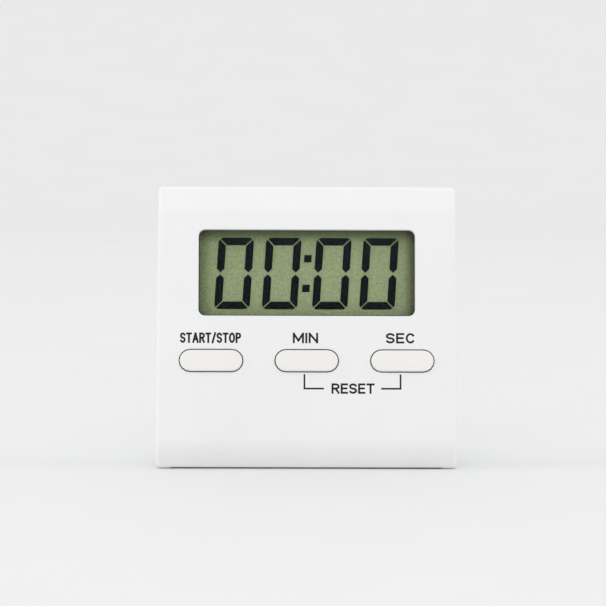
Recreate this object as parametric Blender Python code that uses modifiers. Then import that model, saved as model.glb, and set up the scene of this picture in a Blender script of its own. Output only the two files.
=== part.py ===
"""Lab timer: a white two-part case with a four-digit liquid-crystal display, three sprung keys, a fold-out
stand, a magnet and a button-cell door that turns to open.

Metres, +Z up. The timer stands on z = 0 with its rear face upright at y = +DEPTH / 2 and its front face
leaning back by LEAN. Two working frames keep the sizes plain:
  face frame  x right, y up the front face, z out of it, from the point where that face would meet the base;
  rear frame  x right as seen from behind, y up, z out of the rear face, from the base of the rear face.
"""

import math

import bmesh
import bpy
from mathutils import Matrix, Vector

MM = 0.001

# Case
WIDTH = 66 * MM
DEPTH = 20 * MM
TOP_NARROWING = 0.35 * MM  # each side draws in by this much from base to top
WALL = 1.8 * MM
EDGE_RADIUS = 1.2 * MM
LEAN = math.radians(8)
CHIN_HEIGHT = 4.72 * MM  # up the face, where the chin turns under
CHIN_ANGLE = math.radians(28)
CHIN_RADIUS = 9 * MM
BROW_HEIGHT = 56.95 * MM  # up the face, where the brow turns back
BROW_ANGLE = math.radians(12)
BROW_RADIUS = 12 * MM
FACE_TOP = 62.15 * MM
TOP_FALL = math.radians(2.6)  # the top face falls towards the rear
BASE_FRONT_RADIUS = 1.1 * MM
TOP_FRONT_RADIUS = 1.2 * MM
TOP_REAR_RADIUS = 1.6 * MM
BASE_REAR_RADIUS = 1.2 * MM
RUNNER_WIDTH = 3.4 * MM  # the case stands on a runner at each side
RELIEF = 0.32 * MM  # the base between the runners is raised by this much

# Joint between the two shells: a reveal line outside, a tongue inside
PARTING = 3.2 * MM
REVEAL = 0.3 * MM
TONGUE_INSET = 1.05 * MM
TONGUE_REACH = 1.4 * MM

# Gaps
FIT = 0.1 * MM  # between bonded layers, and round a running shaft
SLIDE = 0.24 * MM  # round a key

# Display, in the face frame
WINDOW_WIDTH = 47.4 * MM
WINDOW_HEIGHT = 18.9 * MM
WINDOW_RADIUS = 1.45 * MM
WINDOW_CENTRE = 43.17 * MM
GLASS_WIDTH = 50.6 * MM
GLASS_TOP = 54.82 * MM
GLASS_THICKNESS = 0.9 * MM
LEDGE_BOTTOM = 30.02 * MM
REAR_GLASS_BOTTOM = 32.82 * MM
LENS_THICKNESS = 1.0 * MM
LENS_HEIGHT = 22.2 * MM
FILM_THICKNESS = 0.25 * MM
FILM_MARGIN = 0.5 * MM
POCKET_WALL = 1.0 * MM
POCKET_GAP = 0.3 * MM
POCKET_DEPTH = 5.6 * MM

# Keys, in the face frame
KEY_HOLE = (14.15 * MM, 5.08 * MM)
KEY_CENTRE = 23.87 * MM
KEY_PITCH = 20.9 * MM
KEY_PROUD = 0.6 * MM
KEY_EDGE = 0.35 * MM
KEY_SKIRT = 1.2 * MM  # how far the retaining flange spreads past the cap
FLANGE_THICKNESS = 0.8 * MM
PLUNGER_RADIUS = 1.8 * MM
FLANGE_FRONT = -WALL - 0.3 * MM
FLANGE_BACK = FLANGE_FRONT - FLANGE_THICKNESS
PLUNGER_END = -3.35 * MM
DOME_TOP = PLUNGER_END - FIT
DOME_CEILING = -4.6 * MM
KEYS = {"start_stop": -1, "minute": 0, "second": 1}

# Circuit board, in the face frame
BOARD_FRONT = -6.2 * MM
BOARD_THICKNESS = 1.0 * MM
BOARD_BACK = BOARD_FRONT - BOARD_THICKNESS
BOARD_HALF_WIDTH = 30 * MM
BOARD_BOTTOM = 10 * MM
BOARD_TOP = 52.5 * MM
BOARD_SCREWS = [(-28.3, 41), (28.3, 41), (-10.5, 15.5), (10.5, 15.5)]  # mm
MAT_FRONT = BOARD_FRONT + 0.65 * MM
MAT_BACK = BOARD_FRONT + 0.15 * MM

# Rear face, in the rear frame
RIB_START = 0.9 * MM  # where walls inside the rear shell start, within its own thickness
CASE_SCREW_X = 28.3 * MM
CASE_SCREW_HEIGHTS = {"lower": 6.2 * MM, "upper": 55.8 * MM}
WELL_RADIUS = 2.4 * MM
WELL_DEPTH = 3.0 * MM
MAGNET_AT = (0, 51.3 * MM)
MAGNET_RADIUS = 6 * MM
MAGNET_THICKNESS = 2 * MM
SOUNDER_AT = (-21.5 * MM, 26 * MM)
SOUNDER_RADIUS = 7.5 * MM

# Cell and door, in the rear frame
CELL_AT = (21.6 * MM, 18 * MM)
CELL_RADIUS = 5.8 * MM
CELL_THICKNESS = 5.4 * MM
CELL_FLOOR = 7.7 * MM
DOOR_RADIUS = 9 * MM
DOOR_TURN = 60  # degrees from locked to the notches
LEDGE_TOP = 1.6 * MM
LEDGE_FOOT = 2.5 * MM
LEDGE_RADIUS = 7.5 * MM
LUG_RADIUS = 8.4 * MM
LUG_ANGLE = 35  # degrees
LUG_ROOM = 3.6 * MM

# Stand, in the rear frame
STAND_WIDTH = 20 * MM
STAND_THICKNESS = 2.2 * MM
STAND_TIP = 3.2 * MM
HINGE_HEIGHT = 39.5 * MM
HINGE_DEPTH = 1.7 * MM
PIVOT_RADIUS = 0.9 * MM
HEEL = 2.6 * MM  # the stand's heel, above the hinge, meets the case as a stop
HEEL_ROOM = 3.75 * MM
HEEL_CLEARANCE = 0.7 * MM
RECESS_DEPTH = 2.6 * MM

# Where the chin's arc meets the face, and so where the face plane has to start for the case to be DEPTH deep.
CHIN_TANGENT = CHIN_HEIGHT + CHIN_RADIUS * math.tan(CHIN_ANGLE / 2)
FACE_Y = -DEPTH / 2 - CHIN_TANGENT * math.sin(LEAN) + CHIN_RADIUS * (1 - math.cos(LEAN))
REAR_Y = DEPTH / 2

MATERIALS = {
    # name: (colour, roughness, metallic)
    "white_abs": ((0.90, 0.90, 0.91), 0.35, 0),
    "key_abs": ((0.88, 0.87, 0.85), 0.4, 0),
    "clear_acrylic": ((0.95, 0.97, 0.96), 0.05, 0),
    "glass": ((0.85, 0.90, 0.86), 0.05, 0),
    "polariser": ((0.55, 0.60, 0.50), 0.3, 0),
    "reflector": ((0.42, 0.50, 0.33), 0.5, 0),
    "silicone": ((0.62, 0.64, 0.66), 0.6, 0),
    "carbon_rubber": ((0.03, 0.03, 0.03), 0.7, 0),
    "connector_rubber": ((0.75, 0.40, 0.45), 0.6, 0),
    "board_laminate": ((0.08, 0.25, 0.10), 0.4, 0),
    "epoxy": ((0.02, 0.02, 0.02), 0.25, 0),
    "tin": ((0.75, 0.75, 0.73), 0.3, 1),
    "chip_ceramic": ((0.45, 0.36, 0.25), 0.5, 0),
    "brass": ((0.80, 0.62, 0.30), 0.3, 1),
    "piezo_ceramic": ((0.85, 0.83, 0.78), 0.5, 0),
    "ferrite": ((0.10, 0.10, 0.11), 0.5, 0),
    "nickel": ((0.72, 0.71, 0.68), 0.25, 1),
    "zinc_steel": ((0.65, 0.66, 0.68), 0.3, 1),
    "red_pvc": ((0.65, 0.05, 0.04), 0.45, 0),
    "black_pvc": ((0.03, 0.03, 0.03), 0.45, 0),
}


# ---------------------------------------------------------------- scene, frames and materials


def clear_scene():
    for old in list(bpy.data.objects):
        bpy.data.objects.remove(old)


def collection(name):
    made = bpy.data.collections.new(name)
    bpy.context.scene.collection.children.link(made)
    return made


def frame(name, location, rotation):
    empty = bpy.data.objects.new(name, None)
    parts.objects.link(empty)
    empty.location = location
    empty.rotation_euler = rotation
    return empty


def material(name):
    colour, roughness, metallic = MATERIALS[name]
    made = bpy.data.materials.get(name)
    if made is None:
        made = bpy.data.materials.new(name)
        made.use_nodes = True
        shader = made.node_tree.nodes["Principled BSDF"]
        shader.inputs["Base Color"].default_value = (*colour, 1)
        shader.inputs["Roughness"].default_value = roughness
        shader.inputs["Metallic"].default_value = metallic
    return made


# ---------------------------------------------------------------- outlines


def arc(centre, radius, start, end, steps):
    """Points along an arc, both ends included; angles in degrees."""
    angles = [math.radians(start + (end - start) * i / steps) for i in range(steps + 1)]
    return [(centre[0] + radius * math.cos(a), centre[1] + radius * math.sin(a)) for a in angles]


def rounded_rectangle(width, height, radius, centre=(0, 0), steps=5):
    x, y = width / 2 - radius, height / 2 - radius
    points = []
    for turn, (side_x, side_y) in enumerate([(1, 1), (-1, 1), (-1, -1), (1, -1)]):
        corner = (centre[0] + side_x * x, centre[1] + side_y * y)
        points += arc(corner, radius, 90 * turn, 90 * turn + 90, steps)
    return points


def pill(length, height, steps=8):
    """A slot shape: straight sides with half-round ends."""
    reach = (length - height) / 2
    return arc((reach, 0), height / 2, -90, 90, steps) + arc((-reach, 0), height / 2, 90, 270, steps)


def moved_in(corners, inset):
    """The corners of a convex outline, drawn counter-clockwise, with every side moved inwards by inset."""
    moved = []
    for i, corner in enumerate(corners):
        here, before, after = Vector(corner), Vector(corners[i - 1]), Vector(corners[(i + 1) % len(corners)])
        along, onward = (here - before).normalized(), (after - here).normalized()
        inward, next_inward = Vector((-along.y, along.x)), Vector((-onward.y, onward.x))
        moved.append(here + (inward + next_inward) * inset / (1 + inward.dot(next_inward)))
    return moved


def filleted(corners, radii, step_angle=math.radians(9)):
    """A convex outline with an arc of its own radius at each corner."""
    points = []
    for i, corner in enumerate(corners):
        here, before, after = Vector(corner), Vector(corners[i - 1]), Vector(corners[(i + 1) % len(corners)])
        along, onward = (here - before).normalized(), (after - here).normalized()
        turn = math.atan2(along.cross(onward), along.dot(onward))
        start = here - along * radii[i] * math.tan(turn / 2)
        centre = start + Vector((-along.y, along.x)) * radii[i]
        steps = max(3, round(turn / step_angle))
        for step in range(steps + 1):
            swung = Matrix.Rotation(turn * step / steps, 2) @ (start - centre)
            points.append(tuple(centre + swung))
    return points


def on_face(up, out):
    """(y, z) of a point given by its distance up the front face and out of it."""
    y = FACE_Y + up * math.sin(LEAN) - out * math.cos(LEAN)
    return (y, up * math.cos(LEAN) + out * math.sin(LEAN))


def case_outline(inset):
    """The case from its side, as (y, z) points, with its surface moved inwards by inset."""
    chin = on_face(CHIN_HEIGHT, 0)
    brow = on_face(BROW_HEIGHT, 0)
    chin_slope = CHIN_ANGLE - LEAN
    top = on_face(FACE_TOP, -(FACE_TOP - BROW_HEIGHT) * math.tan(BROW_ANGLE))
    corners = [
        (chin[0] + chin[1] * math.tan(chin_slope), 0),
        (REAR_Y, 0),
        (REAR_Y, top[1] - (REAR_Y - top[0]) * math.tan(TOP_FALL)),
        top,
        brow,
        chin,
    ]
    radii = [
        BASE_FRONT_RADIUS,
        BASE_REAR_RADIUS,
        TOP_REAR_RADIUS,
        TOP_FRONT_RADIUS,
        BROW_RADIUS,
        CHIN_RADIUS,
    ]
    least = 0.2 * MM
    return filleted(moved_in(corners, inset), [max(radius - inset, least) for radius in radii])


# ---------------------------------------------------------------- solids


def placed(name, mesh, parent=None, location=(0, 0, 0)):
    """A mesh as an object in the parts collection."""
    made = bpy.data.objects.new(name, mesh)
    parts.objects.link(made)
    made.parent = parent
    made.location = location
    return made


def from_bmesh(name, bm, parent=None, location=(0, 0, 0)):
    mesh = bpy.data.meshes.new(name)
    bm.to_mesh(mesh)
    bm.free()
    return placed(name, mesh, parent, location)


def plate(name, outlines, bottom, top, parent=None, location=(0, 0, 0)):
    """A flat piece between two heights. The first outline is its edge, and any others are holes."""
    curve = bpy.data.curves.new(name, "CURVE")
    curve.dimensions = "2D"
    curve.fill_mode = "BOTH"
    curve.extrude = (top - bottom) / 2
    for outline in outlines:
        spline = curve.splines.new("POLY")
        spline.points.add(len(outline) - 1)
        for point, (x, y) in zip(spline.points, outline):
            point.co = (x, y, 0, 1)
        spline.use_cyclic_u = True
    bm = curve_bmesh(curve)
    bmesh.ops.dissolve_limit(bm, angle_limit=0.001, verts=bm.verts, edges=bm.edges)
    bmesh.ops.translate(bm, verts=bm.verts, vec=(0, 0, (bottom + top) / 2))
    return from_bmesh(name, bm, parent, location)


def curve_bmesh(curve):
    """The solid that a curve's bevel or extrusion makes, with its caps joined on."""
    drawn = bpy.data.objects.new(curve.name, curve)
    parts.objects.link(drawn)
    bm = bmesh.new()
    bm.from_mesh(drawn.to_mesh())
    bpy.data.objects.remove(drawn)
    bmesh.ops.remove_doubles(bm, verts=bm.verts, dist=1e-6)
    bmesh.ops.recalc_face_normals(bm, faces=bm.faces)
    return bm


def box(name, low, high, parent=None, location=(0, 0, 0)):
    """A block between two corners."""
    bm = bmesh.new()
    size = Vector(high) - Vector(low)
    centre = (Vector(high) + Vector(low)) / 2
    bmesh.ops.create_cube(bm, size=1, matrix=Matrix.Translation(centre) @ Matrix.Diagonal((*size, 1)))
    return from_bmesh(name, bm, parent, location)


def cylinder(
    name, radius, bottom, top, parent=None, location=(0, 0, 0), axis="Z", segments=32, top_radius=None
):
    """A round bar or cone along its own Z or X axis, from bottom to top."""
    bm = bmesh.new()
    turn = Matrix.Rotation(math.pi / 2, 4, "Y") if axis == "X" else Matrix.Identity(4)
    bmesh.ops.create_cone(
        bm,
        cap_ends=True,
        segments=segments,
        radius1=radius,
        radius2=radius if top_radius is None else top_radius,
        depth=top - bottom,
        matrix=turn @ Matrix.Translation((0, 0, (top + bottom) / 2)),
    )
    return from_bmesh(name, bm, parent, location)


def turned(name, profile, parent=None, location=(0, 0, 0), steps=24):
    """A turned solid: (radius, height) points from the top of the axis, down the outside, to its foot."""
    mesh = bpy.data.meshes.new(name)
    edges = [(i, i + 1) for i in range(len(profile) - 1)]
    mesh.from_pydata([(radius, 0, height) for radius, height in profile], edges, [])
    made = placed(name, mesh, parent, location)
    screw = made.modifiers.new("turn", "SCREW")
    screw.steps = screw.render_steps = steps
    screw.use_merge_vertices = True
    screw.merge_threshold = 1e-6
    bake(made)
    return made


def strip(name, path, thickness, width, parent, location=(0, 0, 0), rotation=(0, 0, 0)):
    """Bent sheet metal: a ribbon of this thickness along a path of (x, y) points, and width along local Z."""
    left, right = [], []
    for i, point in enumerate(path):
        here = Vector(point)
        along = here - Vector(path[i - 1]) if i else Vector(path[1]) - here
        onward = Vector(path[i + 1]) - here if i < len(path) - 1 else along
        across = (along.normalized() + onward.normalized()).normalized()
        side = Vector((-across.y, across.x)) * thickness / 2
        left.append(tuple(here + side))
        right.append(tuple(here - side))
    made = plate(name, [right + left[::-1]], -width / 2, width / 2, parent, location)
    made.rotation_euler = rotation
    return made


def wire(name, route, radius, parent):
    """A round insulated wire along a smooth curve through its route."""
    curve = bpy.data.curves.new(name, "CURVE")
    curve.dimensions = "3D"
    curve.bevel_depth = radius
    curve.bevel_resolution = 2
    curve.use_fill_caps = True
    points = smooth_route(route, 5)
    spline = curve.splines.new("POLY")
    spline.points.add(len(points) - 1)
    for point, position in zip(spline.points, points):
        point.co = (*position, 1)
    return from_bmesh(name, curve_bmesh(curve), parent)


def smooth_route(route, steps):
    """Points on a Catmull-Rom curve through the route, steps to each stretch."""
    ends = [Vector(p) * MM for p in route]
    ends = [2 * ends[0] - ends[1], *ends, 2 * ends[-1] - ends[-2]]
    points = []
    for a, b, c, d in zip(ends, ends[1:], ends[2:], ends[3:]):
        for i in range(steps):
            t = i / steps
            bend = (2 * a - 5 * b + 4 * c - d) * t**2 + (3 * b - a - 3 * c + d) * t**3
            points.append((2 * b + (c - a) * t + bend) / 2)
    return [*points, ends[-2]]


def bake(made):
    """Replaces an object's modifiers with the mesh that they make, so that copies can share it."""
    bpy.context.view_layer.update()
    graph = bpy.context.evaluated_depsgraph_get()
    mesh = bpy.data.meshes.new_from_object(made.evaluated_get(graph))
    made.modifiers.clear()
    made.data = mesh


def combine(made, tools, operation):
    """Joins the tools to an object, or cuts them from it. They become helpers, not parts of the timer."""
    for tool in tools:
        modifier = made.modifiers.new(tool.name, "BOOLEAN")
        modifier.operation = operation
        modifier.object = tool
        parts.objects.unlink(tool)
        helpers.objects.link(tool)
        tool.hide_render = True
        tool.display_type = "WIRE"


def join(made, tools):
    combine(made, tools, "UNION")


def cut(made, tools):
    combine(made, tools, "DIFFERENCE")


def finish(made, material_name, smooth_angle=35):
    """Gives a part its material and its smooth shading."""
    bake(made)
    made.data.materials.clear()
    made.data.materials.append(material(material_name))
    made.data.shade_smooth()
    made.data.set_sharp_from_angle(angle=math.radians(smooth_angle))
    return made


# ---------------------------------------------------------------- case shells


def case_block(name, inset, front=-DEPTH, rear=DEPTH):
    """The case's outer form moved inwards by inset, and only the part of it between two planes across y."""
    half_width = WIDTH / 2 - inset
    made = plate(name, [case_outline(inset)], -half_width, half_width)
    stand_up = Matrix(((0, 0, 1, 0), (1, 0, 0, 0), (0, 1, 0, 0), (0, 0, 0, 1)))
    made.data.transform(stand_up)
    for vertex in made.data.vertices:
        vertex.co.x -= math.copysign(TOP_NARROWING * vertex.co.z / FACE_TOP, vertex.co.x)
    if inset < EDGE_RADIUS:
        bevel = made.modifiers.new("edges", "BEVEL")
        bevel.width = EDGE_RADIUS - inset
        bevel.segments = 4
        bevel.limit_method = "ANGLE"
        bevel.angle_limit = math.radians(40)
        bake(made)
    bm = bmesh.new()
    bm.from_mesh(made.data)
    for plane_y, outward in ((front, -1), (rear, 1)):
        everything = [*bm.verts, *bm.edges, *bm.faces]
        bmesh.ops.bisect_plane(
            bm, geom=everything, plane_co=(0, plane_y, 0), plane_no=(0, outward, 0), clear_outer=True
        )
        rim = [edge for edge in bm.edges if edge.is_boundary]
        if rim:
            bmesh.ops.contextual_create(bm, geom=rim)
    bmesh.ops.recalc_face_normals(bm, faces=bm.faces)
    bm.to_mesh(made.data)
    bm.free()
    return made


def base_relief():
    """The shallow channel under the base that leaves a runner at each side."""
    half = WIDTH / 2 - RUNNER_WIDTH
    return box("base_relief", (-half, -DEPTH, -DEPTH), (half, DEPTH, RELIEF))


def case_screw_places():
    return {
        f"{level}_{side}": (sign * CASE_SCREW_X, height)
        for level, height in CASE_SCREW_HEIGHTS.items()
        for side, sign in (("left", 1), ("right", -1))
    }


def build_front_case():
    shell = case_block("front_case", 0, rear=PARTING)
    join(shell, [case_block("tongue", TONGUE_INSET, rear=PARTING + TONGUE_REACH)])
    cut(shell, [case_block("front_cavity", WALL)])

    embed = -1.2 * MM  # ribs and bosses start this far inside the wall
    pocket_width = GLASS_WIDTH + 2 * POCKET_GAP
    pocket_height = GLASS_TOP - LEDGE_BOTTOM + 2 * POCKET_GAP
    pocket_middle = (0, (GLASS_TOP + LEDGE_BOTTOM) / 2)
    outer = rounded_rectangle(
        pocket_width + 2 * POCKET_WALL, pocket_height + 2 * POCKET_WALL, 0.8 * MM, pocket_middle
    )
    inner = rounded_rectangle(pocket_width, pocket_height, 0.3 * MM, pocket_middle, steps=1)
    join(shell, [plate("display_pocket", [outer, inner], -POCKET_DEPTH, embed, face)])

    board_boss_end = BOARD_FRONT + FIT
    for number, (x, y) in enumerate(BOARD_SCREWS, 1):
        at = (x * MM, y * MM, 0)
        boss_name = f"board_boss_{number}"
        join(shell, [cylinder(boss_name, 1.8 * MM, board_boss_end, embed, face, at, segments=20)])
        pilot_name = f"board_pilot_{number}"
        cut(shell, [cylinder(pilot_name, 0.9 * MM, -10 * MM, embed - MM, face, at, segments=16)])

    boss_end = -(WELL_DEPTH + 1.8 * MM)
    for place, (x, y) in case_screw_places().items():
        wall_y = on_face(y / math.cos(LEAN), 0)[0]
        boss_start = wall_y - REAR_Y + 1.1 * MM
        pilot_start = wall_y - REAR_Y + 2.6 * MM
        at = (x, y, 0)
        join(shell, [cylinder(f"case_boss_{place}", 2.3 * MM, boss_start, boss_end, rear, at, segments=20)])
        cut(shell, [cylinder(f"case_pilot_{place}", 1.1 * MM, pilot_start, 0, rear, at, segments=16)])

    window = rounded_rectangle(WINDOW_WIDTH, WINDOW_HEIGHT, WINDOW_RADIUS, (0, WINDOW_CENTRE), steps=8)
    cut(shell, [plate("window_cut", [window], -2.5 * MM, 2 * MM, face)])
    for name, side in KEYS.items():
        at = (side * KEY_PITCH, KEY_CENTRE, 0)
        cut(shell, [plate(f"{name}_hole", [pill(*KEY_HOLE)], -3 * MM, 2 * MM, face, at)])
    cut(shell, [base_relief()])
    finish(shell, "white_abs")


def rear_cylinder(name, radius, start, end, at, **options):
    """A round tool in the rear frame between two depths below the rear face."""
    return cylinder(name, radius, -end, -start, rear, (*at, 0), **options)


def sector(radius, middle, spread, inner=2 * MM):
    """A slice of a ring, in degrees, for a bayonet lug or the notch that lets it through."""
    outside = arc((0, 0), radius, middle - spread / 2, middle + spread / 2, 6)
    return outside + arc((0, 0), inner, middle + spread / 2, middle - spread / 2, 3)


def build_rear_case():
    shell = case_block("rear_case", 0, front=PARTING + REVEAL)
    rebate_inset = TONGUE_INSET - REVEAL
    cut(shell, [case_block("rebate", rebate_inset, rear=PARTING + TONGUE_REACH + REVEAL)])
    cut(shell, [case_block("rear_cavity", WALL)])
    join(shell, rear_inner_walls())
    cut(shell, [*stand_cuts(), *door_cuts(), *screw_well_cuts(), *sounder_cuts(), base_relief()])
    magnet_floor = MAGNET_THICKNESS + 0.3 * MM
    cut(shell, [rear_cylinder("magnet_cut", MAGNET_RADIUS + FIT, -MM, magnet_floor, MAGNET_AT)])
    finish(shell, "white_abs")


def rear_inner_walls():
    """The rear shell's wells, bosses and ribs, before they are hollowed out."""
    well_half = STAND_WIDTH / 2 + 1.4 * MM
    hinge_half = STAND_WIDTH / 2 + 2.8 * MM
    deeper_start = RIB_START + 0.1 * MM
    magnet_well_end = MAGNET_THICKNESS + 1.2 * MM
    door_well_end = LUG_ROOM + 0.9 * MM
    walls = [
        box(
            "stand_well",
            (-well_half, 1.0 * MM, -RECESS_DEPTH - 1.2 * MM),
            (well_half, 43 * MM, -RIB_START),
            rear,
        ),
        box(
            "hinge_block",
            (-hinge_half, HINGE_HEIGHT - 2.5 * MM, -HEEL_ROOM - 1.2 * MM),
            (hinge_half, HINGE_HEIGHT + HEEL + 1.8 * MM, -deeper_start),
            rear,
        ),
        rear_cylinder("magnet_well", MAGNET_RADIUS + 1.1 * MM, RIB_START, magnet_well_end, MAGNET_AT),
        rear_cylinder("door_well", LUG_RADIUS + 1.2 * MM, RIB_START, door_well_end, CELL_AT, segments=40),
        rear_cylinder("cell_well", CELL_RADIUS + 1.6 * MM, deeper_start, CELL_FLOOR + 0.8 * MM, CELL_AT),
        rear_cylinder("sounder_ring", SOUNDER_RADIUS + 1.1 * MM, RIB_START, 3.2 * MM, SOUNDER_AT),
    ]
    for place, at in case_screw_places().items():
        well_name = f"well_{place}"
        walls.append(rear_cylinder(well_name, 3.3 * MM, RIB_START, WELL_DEPTH + 1.5 * MM, at, segments=24))
    return walls


def stand_cuts():
    """The stand's recess, the room for its heel, its two pivot sockets and the finger scoop under its tip."""
    half = STAND_WIDTH / 2 + 0.4 * MM
    top = HINGE_HEIGHT + HEEL + HEEL_CLEARANCE
    scoop = rounded_rectangle(11 * MM, 4.6 * MM, 2.2 * MM, (0, STAND_TIP + 0.6 * MM))
    return [
        box("stand_recess", (-half, STAND_TIP - 0.5 * MM, -RECESS_DEPTH), (half, top, MM), rear),
        box("heel_room", (-half, HINGE_HEIGHT - 0.8 * MM, -HEEL_ROOM), (half, top, MM), rear),
        cylinder(
            "pivot_sockets",
            PIVOT_RADIUS + FIT,
            -half - 1.5 * MM,
            half + 1.5 * MM,
            rear,
            (0, HINGE_HEIGHT, -HINGE_DEPTH),
            axis="X",
            segments=24,
        ),
        plate("finger_scoop", [scoop], -1.7 * MM, MM, rear),
    ]


def door_cuts():
    """The cell's pocket, the lid's seat, the bayonet ledge and its notches, and slots for the contacts."""
    x, y = CELL_AT
    cuts = [
        rear_cylinder("lid_seat", DOOR_RADIUS + 0.2 * MM, -MM, LEDGE_TOP, CELL_AT, segments=48),
        rear_cylinder("ledge_hole", LEDGE_RADIUS, 0, LEDGE_FOOT + 0.1 * MM, CELL_AT, segments=40),
        rear_cylinder("lug_room", LUG_RADIUS + 0.2 * MM, LEDGE_FOOT, LUG_ROOM, CELL_AT, segments=40),
        rear_cylinder("cell_pocket", CELL_RADIUS + 0.4 * MM, 2 * MM, CELL_FLOOR, CELL_AT),
    ]
    for turn in (0, 180):
        notch = sector(LUG_RADIUS + 0.2 * MM, DOOR_TURN + turn, LUG_ANGLE + 4)
        cuts.append(plate(f"lug_notch_{turn}", [notch], -LEDGE_FOOT - 0.1 * MM, -MM, rear, (x, y, 0)))
    negative_low = (x - 8 * MM, y - 1.8 * MM, -CELL_FLOOR - 0.05 * MM)
    negative_high = (x - 5 * MM, y + 1.8 * MM, -6.8 * MM)
    positive_low = (x - 1.9 * MM, y + 4.5 * MM, -9 * MM)
    positive_high = (x + 1.9 * MM, y + 6.9 * MM, -LUG_ROOM)
    cuts.append(box("negative_slot", negative_low, negative_high, rear))
    cuts.append(box("positive_slot", positive_low, positive_high, rear))
    return cuts


def screw_well_cuts():
    cuts = []
    for place, at in case_screw_places().items():
        cuts.append(rear_cylinder(f"well_hole_{place}", WELL_RADIUS, -MM, WELL_DEPTH, at, segments=24))
        cuts.append(rear_cylinder(f"shank_hole_{place}", 1.2 * MM, 2 * MM, 6 * MM, at, segments=16))
    return cuts


def sounder_cuts():
    """The sounder's chamber, and a ring of sound holes round a middle one."""
    cuts = [rear_cylinder("sounder_chamber", SOUNDER_RADIUS - 0.6 * MM, 1.7 * MM, 4 * MM, SOUNDER_AT)]
    holes = [(0, 0)] + arc((0, 0), 3.4 * MM, 0, 300, 5)
    for number, (dx, dy) in enumerate(holes):
        at = (SOUNDER_AT[0] + dx, SOUNDER_AT[1] + dy)
        cuts.append(rear_cylinder(f"sound_hole_{number}", 0.8 * MM, -MM, 2.5 * MM, at, segments=16))
    return cuts


# ---------------------------------------------------------------- display


def build_display():
    lens_front = -WALL - FIT
    lens = rounded_rectangle(GLASS_WIDTH, LENS_HEIGHT, MM, (0, WINDOW_CENTRE))
    finish(plate("display_lens", [lens], lens_front - LENS_THICKNESS, lens_front, face), "clear_acrylic")

    film_front = lens_front - LENS_THICKNESS - 0.15 * MM
    film = panel_outline(REAR_GLASS_BOTTOM, FILM_MARGIN)
    film_back = film_front - FILM_THICKNESS
    finish(plate("front_polariser", [film], film_back, film_front, face), "polariser")

    front_glass_back = film_back - FIT - GLASS_THICKNESS
    front_glass = panel_outline(LEDGE_BOTTOM)
    finish(plate("lcd_front_glass", [front_glass], front_glass_back, film_back - FIT, face), "glass")

    rear_glass_front = front_glass_back - FIT
    rear_glass_back = rear_glass_front - GLASS_THICKNESS
    rear_glass = panel_outline(REAR_GLASS_BOTTOM)
    finish(plate("lcd_rear_glass", [rear_glass], rear_glass_back, rear_glass_front, face), "glass")

    reflector_front = rear_glass_back - FIT
    finish(
        plate("rear_reflector", [film], reflector_front - FILM_THICKNESS, reflector_front, face), "reflector"
    )

    connector = rounded_rectangle(46 * MM, 2 * MM, 0.2 * MM, (0, LEDGE_BOTTOM + 1.4 * MM), steps=2)
    connector_back = BOARD_FRONT + FIT
    made = plate("lcd_connector", [connector], connector_back, front_glass_back - FIT, face)
    finish(made, "connector_rubber")


def panel_outline(bottom, margin=0):
    """The outline of one of the display's sheets, from the given height to the top of the glass."""
    height = GLASS_TOP - bottom - 2 * margin
    middle = (0, (GLASS_TOP + bottom) / 2)
    return rounded_rectangle(GLASS_WIDTH - 2 * margin, height, 0.2 * MM, middle, steps=1)


# ---------------------------------------------------------------- keys and their rubber mat


def build_keys():
    cap_size = (KEY_HOLE[0] - 2 * SLIDE, KEY_HOLE[1] - 2 * SLIDE)
    skirt_size = (cap_size[0] + 2 * KEY_SKIRT, cap_size[1] + 2 * KEY_SKIRT)
    for name, side in KEYS.items():
        at = (side * KEY_PITCH, KEY_CENTRE, 0)
        cap = plate(f"{name}_button", [pill(*cap_size)], FLANGE_BACK + 0.1 * MM, KEY_PROUD, face, at)
        bevel = cap.modifiers.new("edge", "BEVEL")
        bevel.width = KEY_EDGE
        bevel.segments = 3
        bevel.limit_method = "ANGLE"
        bevel.angle_limit = math.radians(60)
        skirt = pill(*skirt_size, steps=7)
        join(cap, [plate(f"{name}_flange", [skirt], FLANGE_BACK, FLANGE_FRONT, face, at)])
        plunger = cylinder(f"{name}_plunger", PLUNGER_RADIUS, PLUNGER_END, FLANGE_BACK + 0.2 * MM, face, at)
        join(cap, [plunger])
        finish(cap, "key_abs")
        pill_top = DOME_CEILING - FIT
        contact = cylinder(f"{name}_contact", 1.7 * MM, pill_top - 0.4 * MM, pill_top, face, at, segments=20)
        finish(contact, "carbon_rubber")


def build_keypad_mat():
    """One silicone sheet with a hollow dome behind each key."""
    centre = (0, KEY_CENTRE)
    sheet = rounded_rectangle(2 * KEY_PITCH + 11 * MM, 9.4 * MM, 1.5 * MM, centre)
    mat = plate("keypad_mat", [sheet], MAT_BACK, MAT_FRONT, face)
    web_foot, web_top = MAT_BACK + 0.1 * MM, -4.3 * MM
    hollow_foot = BOARD_FRONT - 0.2 * MM
    hollows = []
    for name, side in KEYS.items():
        at = (side * KEY_PITCH, KEY_CENTRE, 0)
        web = cylinder(f"{name}_web", 4.2 * MM, web_foot, web_top, face, at, top_radius=2.7 * MM)
        core = cylinder(f"{name}_core", 2.4 * MM, -4.6 * MM, DOME_TOP, face, at)
        join(mat, [web, core])
        hollow_name = f"{name}_hollow"
        hollow = cylinder(hollow_name, 3.8 * MM, hollow_foot, DOME_CEILING, face, at, top_radius=2.1 * MM)
        hollows.append(hollow)
    cut(mat, hollows)
    finish(mat, "silicone")


# ---------------------------------------------------------------- circuit board


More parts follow.
